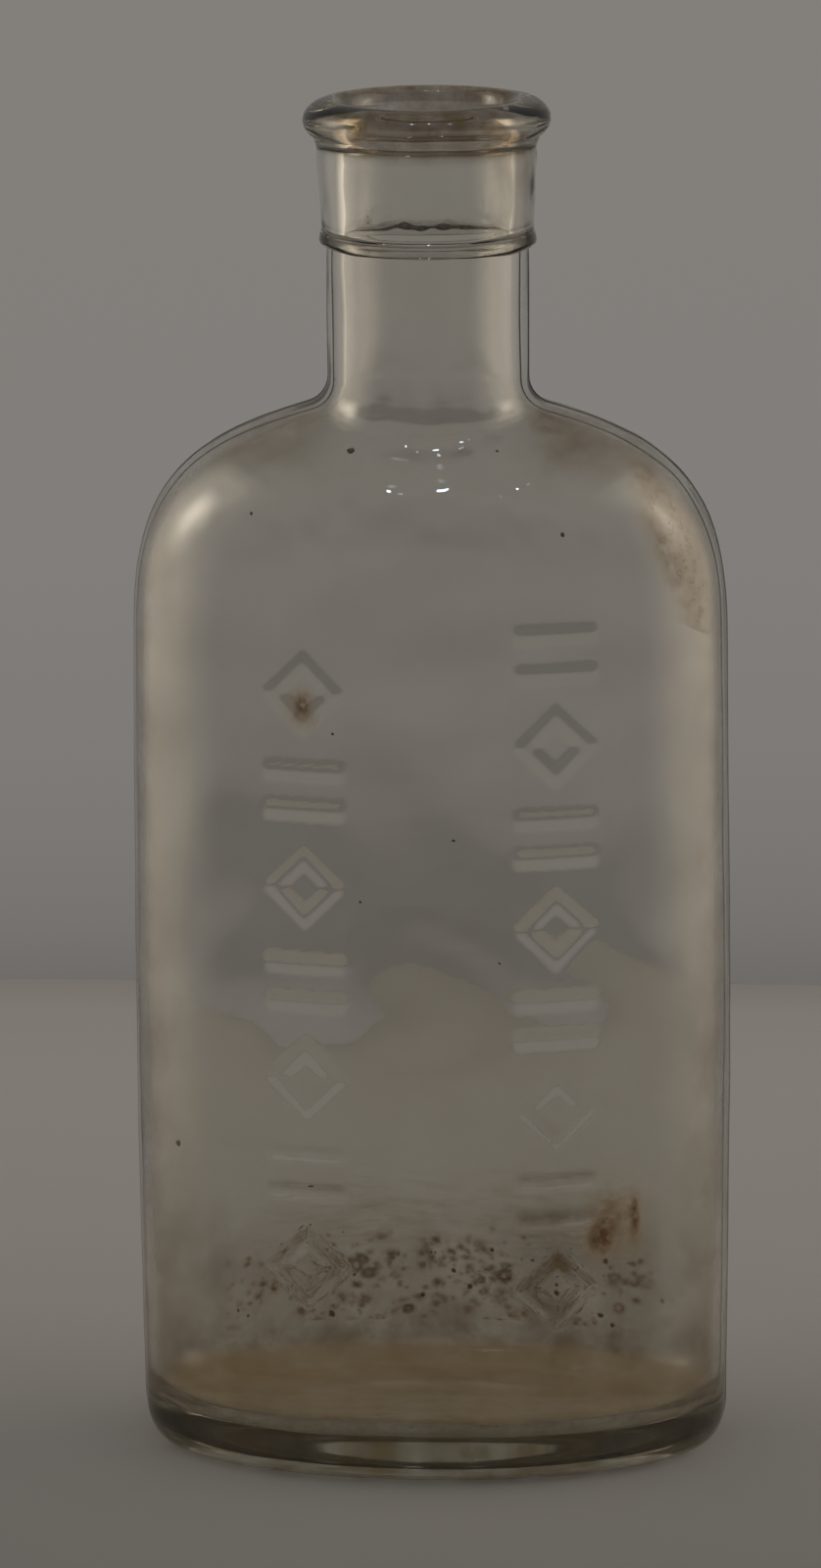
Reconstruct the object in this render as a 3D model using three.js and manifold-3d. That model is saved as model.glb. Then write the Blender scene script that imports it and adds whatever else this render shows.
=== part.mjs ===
// Antique chemist's flat-oval medicine bottle: a mould-blown glass body with an applied glass finish.
// Millimetres. +Z is up, +X is the wide way across, and -Y is the front with the raised marks.
// The origin is the middle of the base, on the surface that the bottle stands on.

import * as THREE from "three";
import { mergeVertices } from "three/addons/utils/BufferGeometryUtils.js";
import Module from "manifold-3d";

// ---- driving dimensions ----
const HALF_WIDTH = 31.9; // outside of the body at its heel and shoulder, along X
const HALF_DEPTH = 18.2; // the same along Y
const BULGE = 0.34; // how far the walls swell between heel and shoulder
const SIDE_WALL = 1.5; // glass thickness at the narrow sides
const FACE_WALL = 2.2; // glass thickness at the broad front and back
const HEIGHT = 148.5;
const NECK_RADIUS = 10.7;
const BORE_RADIUS = 8.85;
const SIDE_FILLET = 3; // sweep from the shoulder up into the neck, outside, at the narrow sides
const FACE_FILLET = 7; // the same at the front and back

// A shoulder leaves the wall upright at its start, and reaches the fillet at its top with a slope in
// degrees. Its two pulls are how far each end holds its direction.
const SIDE_SHOULDER = { start: 90.6, top: 115.9, slope: 16, wallPull: 15.6, topPull: 14.6 };
const FACE_SHOULDER = { start: 103.2, top: 112.2, slope: 44, wallPull: 4.4, topPull: 3 };
const INNER_PULL = 0.96; // inside pulls beside the outside ones

const HEEL_HEIGHT = 4.5;
const HEEL_INSET = 3.3; // from the wall in to the edge of the ring that the bottle stands on
const REST_RING = 4.4; // width of that flat ring
const KICK_UP = 0.8; // how far the middle of the base is pushed in
const FLOOR_HEIGHT = 4.5; // inner floor, at its edge
const FLOOR_CROWN = 0.4; // rise of the inner floor to its middle
const FLOOR_CORNER = 4.3; // inner corner between floor and wall

const COLLAR_FOOT = 132.8; // lower edge of the applied finish
const FOOT_RIM = { radius: 11.6, height: 133.6 }; // small flared rim where the finish laps the neck
const COLLAR = { low: 11.35, lowHeight: 135, high: 11.8, highHeight: 143.3 };
const LIP = { reach: 13.2, crest: 10.2, height: 146.3, halfHeight: 2.2 };
const LAP_DEPTH = 1.4; // how far the neck's cut end stands inside the finish
const JOINT_GAP = 0.3; // between pieces that touch

const MARK = { width: 8.3, height: 8.4, stroke: 1.3, relief: 0.4 };
const MARK_COLUMNS = [
  { x: 14.1, lowest: 22.2, pitch: 9.94, count: 8 },
  { x: -12.6, lowest: 24.5, pitch: 10.5, count: 7 },
];

const DEPOSIT = 0.4; // thickness of a dried deposit on the glass
const FLOOR_DEPOSIT = 0.6;

const AROUND = 48; // facets round the bottle
const WALL_STEPS = 5; // facets up the wall
const TURN_STEPS = 8; // facets along a shoulder
const FILLET_STEPS = 4;
const CORNER_STEPS = 4;

const wasm = await Module();
wasm.setup();

// ---- materials ----
const glass = new THREE.MeshStandardMaterial({
  color: 0xcfd2c6, roughness: 0.05, metalness: 0, transparent: true, opacity: 0.35,
});
const sediment = new THREE.MeshStandardMaterial({ color: 0x8a7550, roughness: 0.9, metalness: 0 });
const scale = new THREE.MeshStandardMaterial({ color: 0x7a684c, roughness: 0.85, metalness: 0 });
const rust = new THREE.MeshStandardMaterial({ color: 0x8a4a16, roughness: 0.9, metalness: 0 });

// ---- outlines ----

/** One outline of a glass surface: its wall, the curve of its shoulder, and the arc up to the neck. */
function outline(wall, shoulder, neck, fillet) {
  const slope = THREE.MathUtils.degToRad(shoulder.slope);
  const start = new THREE.Vector2(wall, shoulder.start);
  const top = new THREE.Vector2(neck + fillet * (1 - Math.sin(slope)), shoulder.top);
  const curve = new THREE.CubicBezierCurve(
    start,
    new THREE.Vector2(wall, shoulder.start + shoulder.wallPull),
    new THREE.Vector2(
      top.x + shoulder.topPull * Math.cos(slope), top.y - shoulder.topPull * Math.sin(slope),
    ),
    top,
  );
  const filletHeight = shoulder.top + fillet * Math.cos(slope);
  return { curve, slope, fillet, filletCentre: neck + fillet, filletHeight };
}

const neckWall = NECK_RADIUS - BORE_RADIUS;

/** The shoulder inside, whose fillet shares the outside fillet's centre. */
function innerShoulder(shoulder) {
  return {
    ...shoulder,
    top: shoulder.top - neckWall * Math.cos(THREE.MathUtils.degToRad(shoulder.slope)),
    wallPull: shoulder.wallPull * INNER_PULL,
    topPull: shoulder.topPull * INNER_PULL,
  };
}

/** The point on an outline's shoulder, at share 0 (wall) to 1 (fillet), moved in by an offset. */
function shoulderPoint(line, share, offset = 0) {
  const point = line.curve.getPoint(share);
  const along = line.curve.getTangent(share);
  return [point.x - offset * along.y, point.y + offset * along.x];
}

/** The point on an outline's fillet, at share 0 (shoulder) to 1 (neck). */
function filletPoint(line, share) {
  const angle = Math.PI + (Math.PI / 2 - line.slope) * (1 - share);
  return [
    line.filletCentre + line.fillet * Math.cos(angle),
    line.filletHeight + line.fillet * Math.sin(angle),
  ];
}

const outerSide = outline(HALF_WIDTH, SIDE_SHOULDER, NECK_RADIUS, SIDE_FILLET);
const outerFace = outline(HALF_DEPTH, FACE_SHOULDER, NECK_RADIUS, FACE_FILLET);

const innerWidth = HALF_WIDTH - SIDE_WALL;
const innerDepth = HALF_DEPTH - FACE_WALL;
const innerSide = outline(innerWidth, innerShoulder(SIDE_SHOULDER), BORE_RADIUS, SIDE_FILLET + neckWall);
const innerFace = outline(innerDepth, innerShoulder(FACE_SHOULDER), BORE_RADIUS, FACE_FILLET + neckWall);

/** Rings up a shoulder and its fillet. A ring is { side: [radius, height], face: [radius, height] }. */
function shoulderRings(side, face) {
  const rings = [];
  for (let i = 0; i <= TURN_STEPS; i += 1) {
    const share = i / TURN_STEPS;
    rings.push({ side: shoulderPoint(side, share), face: shoulderPoint(face, share) });
  }
  for (let i = 1; i <= FILLET_STEPS; i += 1) {
    const share = i / FILLET_STEPS;
    rings.push({ side: filletPoint(side, share), face: filletPoint(face, share) });
  }
  return rings;
}

/** Rings up the swelling wall, from a height to the shoulder's start, both left out. */
function wallRings(width, depth, from) {
  return Array.from({ length: WALL_STEPS - 1 }, (_, i) => {
    const share = (i + 1) / WALL_STEPS;
    const swell = BULGE * Math.sin(Math.PI * share);
    return {
      side: [width + swell, THREE.MathUtils.lerp(from, SIDE_SHOULDER.start, share)],
      face: [depth + swell, THREE.MathUtils.lerp(from, FACE_SHOULDER.start, share)],
    };
  });
}

/** A ring at one height all round. */
function levelRing(sideRadius, faceRadius, height) {
  return { side: [sideRadius, height], face: [faceRadius, height] };
}

/** A ring's point at an angle: an ellipse in plan, whose height runs from the side's to the face's. */
function ringPoint(ring, angle) {
  const c = Math.cos(angle);
  const s = Math.sin(angle);
  return [ring.side[0] * c, ring.face[0] * s, ring.side[1] * c * c + ring.face[1] * s * s];
}

// ---- solids ----

/** An indexed geometry from a flat list of coordinates and a list of triangles. */
function geometryFrom(coordinates, triangles) {
  const geometry = new THREE.BufferGeometry();
  geometry.setAttribute("position", new THREE.Float32BufferAttribute(coordinates, 3));
  geometry.setIndex(triangles);
  return geometry;
}

/** A closed body through rings listed from the bottom up, closed by a point on the axis at each end. */
function loft(bottom, rings, top) {
  const coordinates = [0, 0, bottom];
  for (const ring of rings) {
    for (let i = 0; i < AROUND; i += 1) {
      coordinates.push(...ringPoint(ring, (i / AROUND) * 2 * Math.PI));
    }
  }
  coordinates.push(0, 0, top);
  const last = rings.length * AROUND + 1;
  const at = (row, i) => 1 + row * AROUND + (i % AROUND);
  const triangles = [];
  for (let i = 0; i < AROUND; i += 1) {
    triangles.push(0, at(0, i + 1), at(0, i));
    triangles.push(last, at(rings.length - 1, i), at(rings.length - 1, i + 1));
    for (let row = 0; row + 1 < rings.length; row += 1) {
      triangles.push(at(row, i), at(row, i + 1), at(row + 1, i + 1));
      triangles.push(at(row, i), at(row + 1, i + 1), at(row + 1, i));
    }
  }
  return geometryFrom(coordinates, triangles);
}

/** A thin closed slab: point(u, v, depth) gives its outer face at depth 0 and its inner face at 1. */
function slab(point, uSteps, vSteps) {
  const coordinates = [];
  for (const depth of [0, 1]) {
    for (let j = 0; j <= vSteps; j += 1) {
      for (let i = 0; i <= uSteps; i += 1) coordinates.push(...point(i / uSteps, j / vSteps, depth));
    }
  }
  const row = uSteps + 1;
  const inner = row * (vSteps + 1);
  const triangles = [];
  const quad = (a, b, c, d) => triangles.push(a, b, c, a, c, d);
  for (let j = 0; j < vSteps; j += 1) {
    for (let i = 0; i < uSteps; i += 1) {
      const a = j * row + i;
      quad(a, a + 1, a + row + 1, a + row);
      quad(inner + a, inner + a + row, inner + a + row + 1, inner + a + 1);
    }
    const left = j * row;
    const right = left + uSteps;
    quad(left, left + row, inner + left + row, inner + left);
    quad(right, inner + right, inner + right + row, right + row);
  }
  const top = vSteps * row;
  for (let i = 0; i < uSteps; i += 1) {
    quad(i, inner + i, inner + i + 1, i + 1);
    quad(top + i, top + i + 1, inner + top + i + 1, inner + top + i);
  }
  return geometryFrom(coordinates, triangles);
}

/** A manifold solid from a closed geometry. */
function toSolid(geometry) {
  const bare = geometry.clone();
  bare.deleteAttribute("normal");
  bare.deleteAttribute("uv");
  const merged = mergeVertices(bare, 1e-5);
  return new wasm.Manifold(new wasm.Mesh({
    numProp: 3,
    vertProperties: new Float32Array(merged.attributes.position.array),
    triVerts: new Uint32Array(merged.index.array),
  }));
}

/** A geometry from a manifold solid. */
function fromSolid(solid) {
  const mesh = solid.getMesh();
  return geometryFrom(Array.from(mesh.vertProperties), Array.from(mesh.triVerts));
}

/** A named mesh. */
function piece(name, geometry, material) {
  geometry.computeVertexNormals();
  const mesh = new THREE.Mesh(geometry, material);
  mesh.name = name;
  return mesh;
}

// ---- bottle body ----

/** A prism along Y from an outline in X and Z, long enough to pass through the front wall. */
function prism(shape, x, z) {
  const geometry = new THREE.ExtrudeGeometry(shape, { depth: HALF_DEPTH * 2, bevelEnabled: false });
  geometry.rotateX(Math.PI / 2); // the extrusion now runs from y = 0 towards -Y
  geometry.translate(x, 0, z);
  return toSolid(geometry);
}

/** A four-cornered path, half as wide and half as high as given. */
function lozenge(path, halfWidth, halfHeight) {
  path.moveTo(halfWidth, 0).lineTo(0, halfHeight).lineTo(-halfWidth, 0).lineTo(0, -halfHeight);
  path.closePath();
  return path;
}

/** The outline of a lozenge drawn with the mark's stroke. */
function lozengeMark(x, z) {
  const halfWidth = MARK.width / 2;
  const halfHeight = MARK.height / 2;
  const shape = lozenge(new THREE.Shape(), halfWidth, halfHeight);
  const stroke = MARK.stroke * Math.hypot(1, halfHeight / halfWidth);
  shape.holes.push(lozenge(new THREE.Path(), halfWidth - stroke, halfHeight - stroke));
  return [prism(shape, x, z)];
}

/** Two level bars, one above the other. */
function barsMark(x, z) {
  const halfWidth = MARK.width / 2;
  const halfStroke = MARK.stroke / 2;
  return [-1, 1].map((way) => {
    const shape = new THREE.Shape();
    shape.moveTo(-halfWidth, -halfStroke).lineTo(halfWidth, -halfStroke);
    shape.lineTo(halfWidth, halfStroke).lineTo(-halfWidth, halfStroke).closePath();
    return prism(shape, x, z + way * (MARK.height / 4));
  });
}

/** All the raised marks of the front, standing out of the wall by the same relief everywhere. */
function raisedMarks() {
  const width = HALF_WIDTH + MARK.relief;
  const depth = HALF_DEPTH + MARK.relief;
  const rings = [
    levelRing(width, depth, HEEL_HEIGHT),
    ...wallRings(width, depth, HEEL_HEIGHT),
    levelRing(width, depth, FACE_SHOULDER.start),
  ];
  const skin = loft(HEEL_HEIGHT, rings, FACE_SHOULDER.start);
  const prisms = [];
  for (const column of MARK_COLUMNS) {
    for (let i = 0; i < column.count; i += 1) {
      const mark = i % 2 === 0 ? lozengeMark : barsMark;
      prisms.push(...mark(column.x, column.lowest + i * column.pitch));
    }
  }
  return wasm.Manifold.union(prisms).intersect(toSolid(skin));
}

/** The outside of the blown body, from the pushed-in base to the cut end of the neck. */
function outerForm() {
  const restWidth = HALF_WIDTH - HEEL_INSET;
  const restDepth = HALF_DEPTH - HEEL_INSET;
  const rings = [
    levelRing((restWidth - REST_RING) / 2, (restDepth - REST_RING) / 2, KICK_UP * 0.75),
    levelRing(restWidth - REST_RING, restDepth - REST_RING, 0),
  ];
  for (let i = 0; i <= CORNER_STEPS; i += 1) {
    const angle = (i / CORNER_STEPS) * (Math.PI / 2);
    const out = HEEL_INSET * Math.sin(angle);
    rings.push(levelRing(restWidth + out, restDepth + out, HEEL_HEIGHT * (1 - Math.cos(angle))));
  }
  const neckEnd = COLLAR_FOOT + LAP_DEPTH;
  rings.push(...wallRings(HALF_WIDTH, HALF_DEPTH, HEEL_HEIGHT));
  rings.push(...shoulderRings(outerSide, outerFace), levelRing(NECK_RADIUS, NECK_RADIUS, neckEnd));
  return loft(KICK_UP, rings, neckEnd);
}

/** The hollow inside, from the floor up through the neck and past its cut end. */
function cavityForm() {
  const rings = [];
  for (let i = 0; i <= CORNER_STEPS; i += 1) {
    const angle = (i / CORNER_STEPS) * (Math.PI / 2);
    const inset = FLOOR_CORNER * (1 - Math.sin(angle));
    const height = FLOOR_HEIGHT + FLOOR_CORNER * (1 - Math.cos(angle));
    rings.push(levelRing(innerWidth - inset, innerDepth - inset, height));
  }
  rings.push(...wallRings(innerWidth, innerDepth, FLOOR_HEIGHT + FLOOR_CORNER));
  rings.push(...shoulderRings(innerSide, innerFace), levelRing(BORE_RADIUS, BORE_RADIUS, HEIGHT));
  return loft(FLOOR_HEIGHT + FLOOR_CROWN, rings, HEIGHT);
}

function bottleBody() {
  const solid = toSolid(outerForm()).add(raisedMarks()).subtract(toSolid(cavityForm()));
  return piece("bottle_body", fromSolid(solid), glass);
}

// ---- applied finish ----

/** Points of an ellipse's arc in the lathe plane, from one angle to another in degrees. */
function arcPoints(centreRadius, centreHeight, reach, rise, from, to, steps) {
  return Array.from({ length: steps + 1 }, (_, i) => {
    const angle = THREE.MathUtils.degToRad(from + ((to - from) * i) / steps);
    return [centreRadius + reach * Math.cos(angle), centreHeight + rise * Math.sin(angle)];
  });
}

/** The collar and rounded lip, with a step inside its foot that laps over the neck's cut end. */
function appliedFinish() {
  const lapRadius = NECK_RADIUS + JOINT_GAP;
  const lapTop = COLLAR_FOOT + LAP_DEPTH + JOINT_GAP;
  const inner = LIP.crest - BORE_RADIUS;
  const profile = [
    [BORE_RADIUS, lapTop],
    [lapRadius, lapTop],
    [lapRadius, COLLAR_FOOT],
    [(lapRadius + FOOT_RIM.radius) / 2, COLLAR_FOOT],
    [FOOT_RIM.radius, FOOT_RIM.height],
    [COLLAR.low, COLLAR.lowHeight],
    [COLLAR.high, COLLAR.highHeight],
    ...arcPoints(LIP.crest, LIP.height, LIP.reach - LIP.crest, LIP.halfHeight, -50, 90, 9),
    ...arcPoints(LIP.crest, LIP.height, inner, LIP.halfHeight, 90, 180, 4).slice(1),
    [BORE_RADIUS, lapTop],
  ];
  const lathe = new THREE.LatheGeometry(profile.map(([r, z]) => new THREE.Vector2(r, z)), AROUND);
  lathe.rotateX(Math.PI / 2); // the lathe's axis, Y, now stands along +Z
  return piece("applied_finish", fromSolid(toSolid(lathe)), glass);
}

// ---- dried deposits ----

/** Sediment lying on the inner floor. */
function floorResidue() {
  const clear = FLOOR_CORNER + JOINT_GAP;
  const low = FLOOR_HEIGHT + JOINT_GAP;
  const edge = (height) => levelRing(innerWidth - clear, innerDepth - clear, height);
  const rings = [edge(low), edge(low + FLOOR_DEPOSIT)];
  const top = low + FLOOR_DEPOSIT + FLOOR_CROWN;
  return piece("floor_residue", loft(low + FLOOR_CROWN, rings, top), sediment);
}

/** A deposit on the inside of the straight wall, between two angles and two heights. */
function wallDeposit(name, material, angles, heights, steps) {
  const point = (u, v, depth) => {
    const offset = JOINT_GAP + DEPOSIT * depth;
    const height = THREE.MathUtils.lerp(heights[0], heights[1], v);
    const ring = levelRing(innerWidth - offset, innerDepth - offset, height);
    return ringPoint(ring, THREE.MathUtils.degToRad(THREE.MathUtils.lerp(angles[0], angles[1], u)));
  };
  return piece(name, slab(point, steps[0], steps[1]), material);
}

/** A film on the inside of the shoulder, between two angles and two shares of its bend. */
function shoulderFilm(name, material, angles, shares, steps) {
  const point = (u, v, depth) => {
    const offset = JOINT_GAP + DEPOSIT * depth;
    const share = THREE.MathUtils.lerp(shares[0], shares[1], v);
    const ring = {
      side: shoulderPoint(innerSide, share, offset),
      face: shoulderPoint(innerFace, share, offset),
    };
    return ringPoint(ring, THREE.MathUtils.degToRad(THREE.MathUtils.lerp(angles[0], angles[1], u)));
  };
  return piece(name, slab(point, steps[0], steps[1]), material);
}

const group = new THREE.Group();
group.add(
  bottleBody(),
  appliedFinish(),
  floorResidue(),
  wallDeposit("wall_scale", scale, [41, 144], [9.5, 25], [24, 2]),
  shoulderFilm("shoulder_film", scale, [314, 350], [0, 0.6], [8, 5]),
  wallDeposit("rust_stain_upper", rust, [243.5, 246.5], [84.6, 86.8], [1, 1]),
  wallDeposit("rust_stain_lower", rust, [307, 318], [25.5, 32], [4, 1]),
);

export default group;
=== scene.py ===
"""Looks of an antique chemist's bottle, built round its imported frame.

The bottle is clear glass blown in a two-part mould, with a collar and lip applied by hand, and what it
once held has dried inside it. Shapes are worked out in millimetres and turned to metres by MM. As in the
frame, +Z is up, +X is the wide way across and -Y is the front, which has the raised marks.
"""
import logging
import math
from dataclasses import dataclass
from enum import Enum
from typing import Callable, Sequence

import bpy
import numpy as np
from mathutils import Matrix, Vector


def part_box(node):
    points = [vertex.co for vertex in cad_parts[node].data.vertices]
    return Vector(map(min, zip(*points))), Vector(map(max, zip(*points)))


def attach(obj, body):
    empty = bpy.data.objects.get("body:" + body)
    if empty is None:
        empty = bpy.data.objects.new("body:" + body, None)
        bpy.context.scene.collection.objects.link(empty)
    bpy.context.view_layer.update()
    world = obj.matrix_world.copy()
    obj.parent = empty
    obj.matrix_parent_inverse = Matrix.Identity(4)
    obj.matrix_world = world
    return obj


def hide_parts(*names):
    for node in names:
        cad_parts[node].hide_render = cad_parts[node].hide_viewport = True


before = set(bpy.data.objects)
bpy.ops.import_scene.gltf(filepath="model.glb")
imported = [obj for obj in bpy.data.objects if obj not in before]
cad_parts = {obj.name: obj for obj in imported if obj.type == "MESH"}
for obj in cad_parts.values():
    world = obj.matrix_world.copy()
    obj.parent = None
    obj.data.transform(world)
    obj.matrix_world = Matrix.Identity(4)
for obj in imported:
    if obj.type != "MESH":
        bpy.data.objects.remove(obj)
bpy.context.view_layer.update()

LOG = logging.getLogger("bottle")
MM = 0.001

Profile = np.ndarray  # rows of (radius, height)
Grid = np.ndarray  # rows up, columns round, then x, y, z


class Slot(Enum):
    """The record's material slots."""

    BLOWN = "blown_glass"
    APPLIED = "applied_glass"
    SEDIMENT = "sediment"
    SCALE = "dried_scale"
    RUST = "rust"


# ---------------------------------------------------------------- small tools


def linear(hex_colour: str, alpha: float = 1.0) -> tuple[float, float, float, float]:
    """Turns an sRGB colour into the linear one that shaders take.

    Args:
        hex_colour: Six hex digits, such as "c8b890".
        alpha: The fourth number.

    Returns:
        Linear red, green, blue and alpha.
    """
    parts = [int(hex_colour[i : i + 2], 16) / 255 for i in (0, 2, 4)]
    flat = [c / 12.92 if c <= 0.04045 else ((c + 0.055) / 1.055) ** 2.4 for c in parts]
    return (*flat, alpha)


def add_node(
    tree: bpy.types.NodeTree, kind: str, sockets: dict | None = None, **settings,
) -> bpy.types.Node:
    """Adds a shader node with its settings and links.

    Args:
        tree: The node tree that takes it.
        kind: Its type, without "ShaderNode".
        sockets: A value, or an output socket to link, for each input name or number.
        settings: The node's own properties.

    Returns:
        The new node.
    """
    node = tree.nodes.new("ShaderNode" + kind)
    for name, value in settings.items():
        setattr(node, name, value)
    for name, value in (sockets or {}).items():
        if isinstance(value, bpy.types.NodeSocket):
            tree.links.new(value, node.inputs[name])
        else:
            node.inputs[name].default_value = value
    return node


def set_ramp(node: bpy.types.Node, stops: Sequence[tuple[float, str]]) -> bpy.types.NodeSocket:
    """Fills a colour ramp.

    Args:
        node: The ramp node.
        stops: Place from 0 to 1 and hex colour, in order.

    Returns:
        The ramp's colour output.
    """
    elements = node.color_ramp.elements
    while len(elements) < len(stops):
        elements.new(0.5)
    for element, (place, colour) in zip(elements, stops):
        element.position = place
        element.color = linear(colour)
    return node.outputs["Color"]


def new_material(name: str) -> tuple[bpy.types.Material, bpy.types.NodeTree]:
    """Makes an empty node material.

    Args:
        name: The material's name.

    Returns:
        The material and its cleared node tree.
    """
    material = bpy.data.materials.new(name)
    material.use_nodes = True
    material.node_tree.nodes.clear()
    return material, material.node_tree


def millimetres(tree: bpy.types.NodeTree, period: Sequence[float]) -> bpy.types.NodeSocket:
    """Gives object coordinates scaled so that a pattern of scale 1 repeats about once in a period.

    Args:
        tree: The material's node tree.
        period: Size of one repeat along x, y and z, in millimetres.

    Returns:
        The scaled vector output.
    """
    place = add_node(tree, "TexCoord")
    scale = tuple(1 / (p * MM) for p in period)
    return add_node(tree, "Mapping", {"Vector": place.outputs["Object"], "Scale": scale}).outputs[0]


def noise(
    tree: bpy.types.NodeTree, period: Sequence[float], detail: float, roughness: float = 0.5,
) -> bpy.types.NodeSocket:
    """Adds cloudy noise.

    Args:
        tree: The material's node tree.
        period: Size of one cloud along x, y and z, in millimetres.
        detail: How many finer layers it has.
        roughness: How strong the finer layers are.

    Returns:
        Its value output.
    """
    sockets = {"Vector": millimetres(tree, period), "Scale": 1.0, "Detail": detail, "Roughness": roughness}
    return add_node(tree, "TexNoise", sockets).outputs["Fac"]


def combine(tree: bpy.types.NodeTree, operation: str, *values, clamp: bool = False) -> bpy.types.NodeSocket:
    """Combines numbers.

    Args:
        tree: The material's node tree.
        operation: The sum to do, such as "MULTIPLY".
        values: Numbers, or sockets to link, in order.
        clamp: Whether the result is kept from 0 to 1.

    Returns:
        The result's socket.
    """
    return add_node(tree, "Math", dict(enumerate(values)), operation=operation, use_clamp=clamp).outputs[0]


def stored(tree: bpy.types.NodeTree, name: str) -> bpy.types.NodeSocket:
    """Reads a number that set_amount stored on each point.

    Args:
        tree: The material's node tree.
        name: The attribute's name.

    Returns:
        Its value output.
    """
    return add_node(tree, "Attribute", attribute_name=name).outputs["Fac"]


def new_object(name: str, data: bpy.types.ID) -> bpy.types.Object:
    """Puts a mesh, a light or a camera in the scene.

    Args:
        name: The object's name.
        data: What it shows.

    Returns:
        The object.
    """
    made = bpy.data.objects.new(name, data)
    bpy.context.scene.collection.objects.link(made)
    return made


def waves(points: np.ndarray, length: float, seed: int, count: int = 7) -> np.ndarray:
    """Smooth unevenness in space, as the sum of a few plane waves.

    Args:
        points: Places, in millimetres, with x, y and z last.
        length: Usual wavelength, in millimetres.
        seed: Which unevenness.
        count: How many waves.

    Returns:
        Values of about -1 to 1, one for each place.
    """
    rng = np.random.default_rng(seed)
    total = np.zeros(points.shape[:-1])
    for _ in range(count):
        way = rng.normal(size=3)
        way *= 2 * math.pi / (length * rng.uniform(0.7, 1.5) * np.linalg.norm(way))
        total += np.sin(points @ way + rng.uniform(0, 2 * math.pi))
    return total / math.sqrt(count) / 1.4


def smooth(low: float, high: float, value: np.ndarray) -> np.ndarray:
    """Rises smoothly.

    Args:
        low: Where it leaves 0.
        high: Where it reaches 1.
        value: Where to work it out.

    Returns:
        Amounts from 0 to 1.
    """
    t = np.clip((value - low) / (high - low), 0, 1)
    return t * t * (3 - 2 * t)


# ---------------------------------------------------------------- shapes


@dataclass
class Outline:
    """One outline of a glass surface: where its shoulder leaves the wall, its curve and its fillet."""

    wall: float
    start: float
    top: float
    slope: float  # degrees, where the shoulder reaches the fillet
    wall_pull: float
    top_pull: float
    neck: float
    fillet: float

    def shoulder(self, share: np.ndarray) -> Profile:
        """Follows the shoulder's curve.

        Args:
            share: From 0 at the wall to 1 at the fillet.

        Returns:
            Radii and heights.
        """
        slope = math.radians(self.slope)
        along = np.array((math.cos(slope), -math.sin(slope)))
        start = np.array((self.wall, self.start))
        top = np.array((self.neck + self.fillet * (1 - math.sin(slope)), self.top))
        points = (start, start + (0, self.wall_pull), top + self.top_pull * along, top)
        t = np.asarray(share, float)[:, None]
        weights = ((1 - t) ** 3, 3 * (1 - t) ** 2 * t, 3 * (1 - t) * t**2, t**3)
        return sum(w * p for w, p in zip(weights, points))

    def sweep(self, share: np.ndarray) -> Profile:
        """Follows the fillet's arc.

        Args:
            share: From 0 at the shoulder to 1 at the neck.

        Returns:
            Radii and heights.
        """
        slope = math.radians(self.slope)
        angle = math.pi + (math.pi / 2 - slope) * (1 - np.asarray(share, float))
        centre = np.array((self.neck + self.fillet, self.top + self.fillet * math.cos(slope)))
        return centre + self.fillet * np.stack((np.cos(angle), np.sin(angle)), 1)

    def inside(self, wall: float, neck: float, pull: float) -> "Outline":
        """The inside outline with the same fillet centre.

        Args:
            wall: Thickness of the wall.
            neck: Thickness of the neck.
            pull: Share of the outside pulls that it keeps.

        Returns:
            The inside outline.
        """
        drop = neck * math.cos(math.radians(self.slope))
        return Outline(
            self.wall - wall, self.start, self.top - drop, self.slope,
            self.wall_pull * pull, self.top_pull * pull, self.neck - neck, self.fillet + neck,
        )


def level(side: np.ndarray, face: np.ndarray, height: np.ndarray) -> tuple[Profile, Profile]:
    """Side and face outlines of rings that are level all round.

    Args:
        side: Radii along X.
        face: Radii along Y.
        height: Heights.

    Returns:
        The two outlines.
    """
    values = (np.atleast_1d(v).astype(float) for v in (side, face, height))
    side, face, height = np.broadcast_arrays(*values)
    return np.stack((side, height), 1), np.stack((face, height), 1)


def joined(*parts: tuple[Profile, Profile]) -> tuple[Profile, Profile]:
    """Joins stretches of rings into one.

    Args:
        parts: Side and face outlines of each stretch.

    Returns:
        The two outlines.
    """
    return np.concatenate([p[0] for p in parts]), np.concatenate([p[1] for p in parts])


def ring_grid(side: Profile, face: Profile, angles: np.ndarray) -> Grid:
    """Sweeps rings between a side and a face outline: ellipses in plan, whose height runs between the two.

    Args:
        side: Radius and height of each ring along X.
        face: The same along Y.
        angles: Angles round the bottle, in radians.

    Returns:
        The points.
    """
    c, s = np.cos(angles), np.sin(angles)
    height = side[:, 1:] * c**2 + face[:, 1:] * s**2
    return np.stack((side[:, :1] * c, face[:, :1] * s, height), -1)


def outward(grid: Grid) -> np.ndarray:
    """Works out unit normals.

    Args:
        grid: Points whose rows run up and whose columns run anticlockwise all round.

    Returns:
        A normal for each point.
    """
    across = np.roll(grid, -1, 1) - np.roll(grid, 1, 1)
    normals = np.cross(across, np.gradient(grid, axis=0))
    return normals / np.maximum(np.linalg.norm(normals, axis=-1, keepdims=True), 1e-9)


def even(low: float, high: float, step: float, ends: tuple[bool, bool] = (True, True)) -> np.ndarray:
    """Evenly spaced values.

    Args:
        low: First value.
        high: Last value.
        step: Spacing that isn't passed.
        ends: Whether the first and the last value are kept.

    Returns:
        The values.
    """
    values = np.linspace(low, high, max(int(math.ceil(abs(high - low) / step)), 1) + 1)
    return values[0 if ends[0] else 1 : None if ends[1] else -1]


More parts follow.
